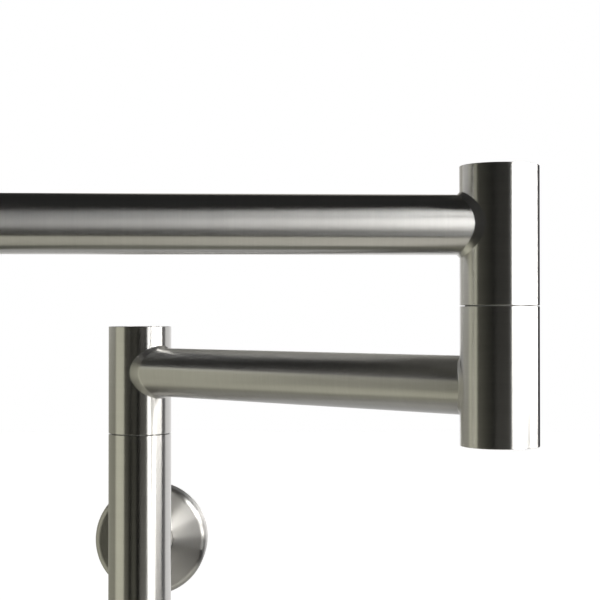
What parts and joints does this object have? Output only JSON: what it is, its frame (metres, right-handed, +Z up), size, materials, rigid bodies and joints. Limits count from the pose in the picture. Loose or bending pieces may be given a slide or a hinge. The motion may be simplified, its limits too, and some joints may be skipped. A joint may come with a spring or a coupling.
{
  "type": "wall mounted pot filler",
  "caption": "Brushed steel wall tap with a jointed arm: a tube arm on a wall swivel, a second arm on an elbow swivel, and a straight drop spout with a valve at each end.",
  "frame": {"origin": "centre of the inlet's mouth, in the plane of the wall", "axes": "+Z up, +Y into the wall and out of the inlet, +X to the right of a person who faces the wall"},
  "size_m": [0.367, 0.2488, 0.284],
  "materials": {
    "brushed_steel": "brushed round the axis",
    "turned_steel": "fine turned",
    "dark_steel": "blackened",
    "valve_brass": "machined",
    "seal_rubber": "moulded",
    "valve_ceramic": "lapped",
    "white_plastic": "moulded"
  },
  "bodies": {
    "wall_unit": {"mounting_plate": "turned_steel", "plate_grub_screws": "dark_steel", "wall_flange": "brushed_steel", "flange_seal": "seal_rubber", "wall_stub": "brushed_steel", "inlet_washer": "seal_rubber", "inlet_strainer": "turned_steel", "stub_weld": "brushed_steel", "wall_body": "brushed_steel", "wall_cartridge": "valve_brass", "wall_fixed_disc": "valve_ceramic", "wall_valve_seals": "seal_rubber", "wall_bonnet": "brushed_steel", "wall_swivel_spigot": "turned_steel", "wall_swivel_seals": "seal_rubber", "wall_slip_ring": "white_plastic", "wall_thrust_washer": "white_plastic", "wall_retaining_ring": "turned_steel"},
    "wall_handle": {"wall_valve_stem": "valve_brass", "wall_stem_seal": "seal_rubber", "wall_turning_disc": "valve_ceramic", "wall_handle_hub": "brushed_steel", "wall_handle_lever": "brushed_steel", "wall_handle_screw": "turned_steel", "wall_handle_cap": "brushed_steel"},
    "inner_arm": {"inner_arm_tube": "brushed_steel", "inner_arm_wall_socket": "brushed_steel", "inner_arm_elbow_socket": "brushed_steel", "inner_arm_welds": "brushed_steel", "inner_arm_end_plugs": "brushed_steel", "elbow_swivel_spigot": "turned_steel", "elbow_swivel_seals": "seal_rubber", "elbow_slip_ring": "white_plastic", "elbow_thrust_washer": "white_plastic", "elbow_retaining_ring": "turned_steel"},
    "outer_arm": {"outer_arm_tube": "brushed_steel", "outer_arm_elbow_socket": "brushed_steel", "outer_arm_spout_socket": "brushed_steel", "outer_arm_welds": "brushed_steel", "outer_arm_end_plug": "brushed_steel", "spout_cartridge": "valve_brass", "spout_fixed_disc": "valve_ceramic", "spout_valve_seals": "seal_rubber", "spout_bonnet": "brushed_steel", "spout_nipple": "turned_steel", "spout_nipple_seal": "seal_rubber", "spout_tube": "brushed_steel", "aerator_shell": "turned_steel", "aerator_insert": "white_plastic", "aerator_screen": "turned_steel", "aerator_washer": "seal_rubber"},
    "spout_handle": {"spout_valve_stem": "valve_brass", "spout_stem_seal": "seal_rubber", "spout_turning_disc": "valve_ceramic", "spout_handle_hub": "brushed_steel", "spout_handle_lever": "brushed_steel", "spout_handle_screw": "turned_steel", "spout_handle_cap": "brushed_steel"}
  },
  "joints": [
    {"name": "wall_swivel", "type": "hinge", "parent": "wall_unit", "child": "inner_arm", "pos_m": [0, -0.065, 0.066], "axis": [0, 0, 1], "range_deg": [-137.6, 42.4]},
    {"name": "elbow_swivel", "type": "hinge", "parent": "inner_arm", "child": "outer_arm", "pos_m": [0.16984, -0.22009, 0.133], "axis": [0, 0, 1], "continuous": true},
    {"name": "wall_handle_turn", "type": "hinge", "parent": "wall_unit", "child": "wall_handle", "pos_m": [0, -0.065, -0.046], "axis": [0, 0, -1], "range_deg": [0, 90]},
    {"name": "spout_handle_turn", "type": "hinge", "parent": "outer_arm", "child": "spout_handle", "pos_m": [-0.10589, -0.23213, 0.2122], "axis": [0, 0, 1], "range_deg": [0, 90]}
  ]
}
